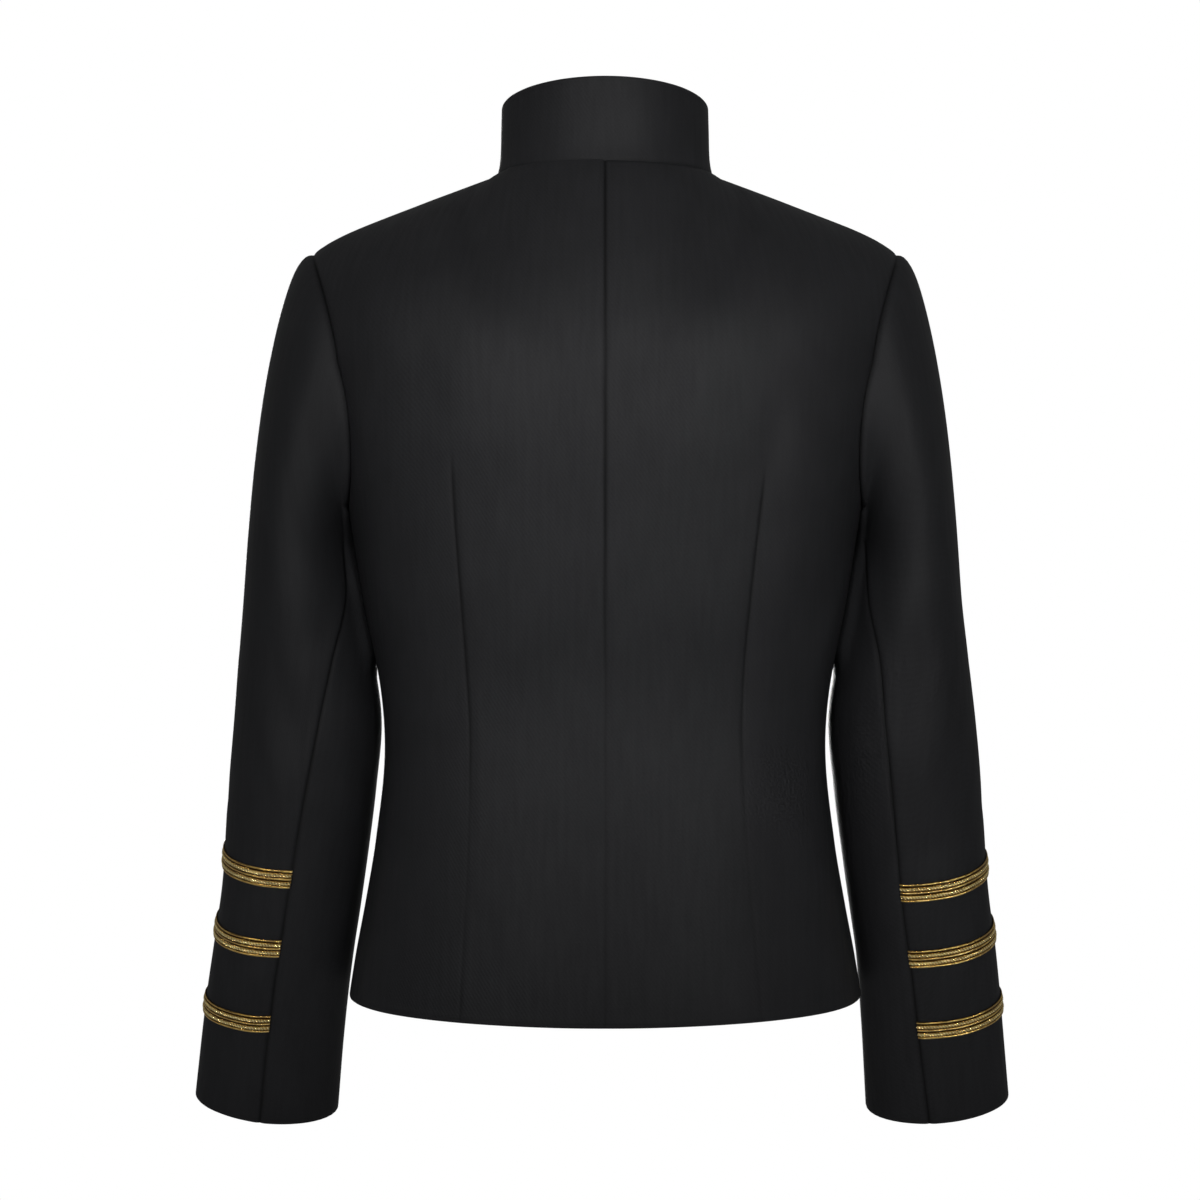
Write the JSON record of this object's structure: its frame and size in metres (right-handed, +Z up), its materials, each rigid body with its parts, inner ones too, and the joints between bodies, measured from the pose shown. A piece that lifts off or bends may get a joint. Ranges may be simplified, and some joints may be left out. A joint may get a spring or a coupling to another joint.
{
  "type": "double-breasted jacket with a stand collar and braided sleeves, filled out as worn",
  "caption": "Short fitted jacket shell with stand collar, lapped front, domed buttons, set-in two-piece sleeves and raised metallic braids above the cuffs.",
  "frame": {"origin": "on the axis of the neck, level with the shoulder ends of the collar seam, where the wearer's neck and shoulders hold the jacket", "axes": "+Z up along the neck, -Y towards the jacket's front, +X towards the wearer's left"},
  "size_m": [0.5864, 0.2622, 0.7274],
  "materials": {
    "twill": "black twill suiting, matt with a faint sheen",
    "braid": "gold metallic braid with raised twisted cords",
    "button": "plain domed gold-coloured metal"
  },
  "bodies": {
    "root": {"back_left": "twill", "back_right": "twill", "front_left": "twill", "front_right": "twill", "collar": "twill", "top_sleeve_left": "twill", "under_sleeve_left": "twill", "top_sleeve_right": "twill", "under_sleeve_right": "twill", "braid_left_1": "braid", "braid_left_2": "braid", "braid_left_3": "braid", "braid_right_1": "braid", "braid_right_2": "braid", "braid_right_3": "braid", "button_left_1": "button", "button_left_2": "button", "button_left_3": "button", "button_left_4": "button", "button_left_5": "button", "button_right_1": "button", "button_right_2": "button", "button_right_3": "button", "button_right_4": "button", "button_right_5": "button"}
  },
  "joints": []
}
